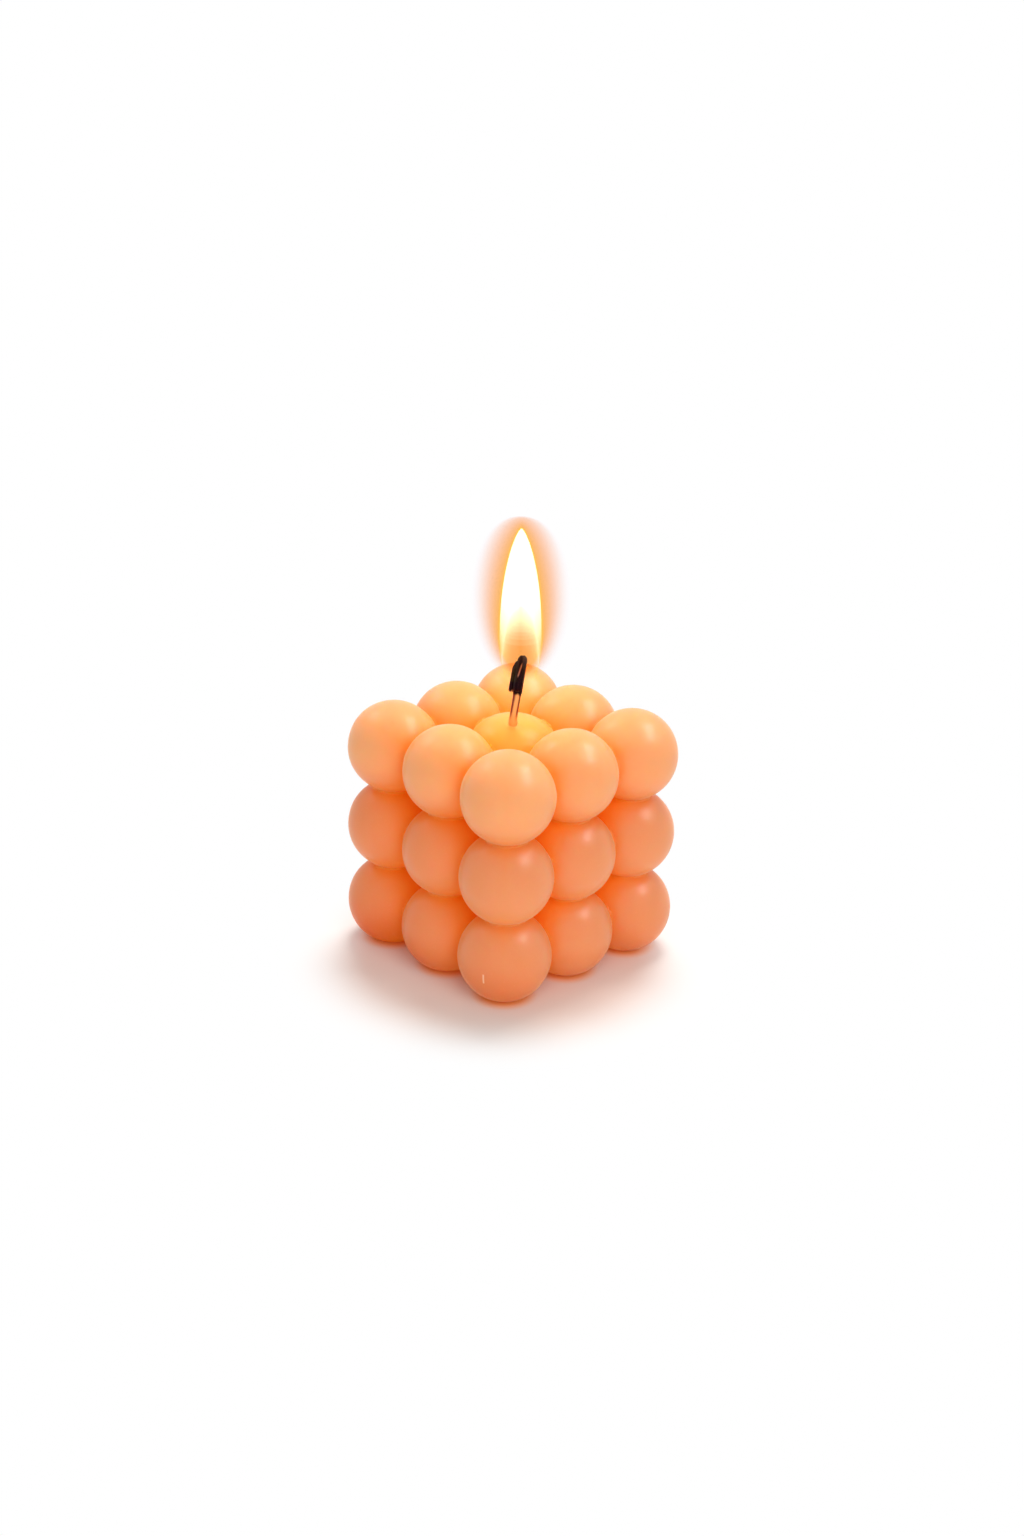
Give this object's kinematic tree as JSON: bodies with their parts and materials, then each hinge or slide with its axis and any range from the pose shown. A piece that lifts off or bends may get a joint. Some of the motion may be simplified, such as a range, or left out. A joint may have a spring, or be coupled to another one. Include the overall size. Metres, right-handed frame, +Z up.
{
  "type": "bubble cube candle",
  "caption": "Lit wax candle cast as a cube of round bubbles, with a leaning cotton wick whose charred end curls over inside a tall flame.",
  "frame": {"origin": "centre of the base, on the surface that the candle stands on", "axes": "+Z up along the candle's height; the four upright faces of the cube are square to X and Y; the corner at -X -Y is the front corner in the picture"},
  "size_m": [0.06, 0.06, 0.1055],
  "materials": {
    "wax": "smooth peach candle wax, soft sheen, lets light through",
    "wick_cotton": "braided cotton, soaked in wax below and charred above",
    "flame": "luminous gas"
  },
  "bodies": {
    "root": {"wax_body": "wax", "wick": "wick_cotton", "flame": "flame"}
  },
  "joints": []
}
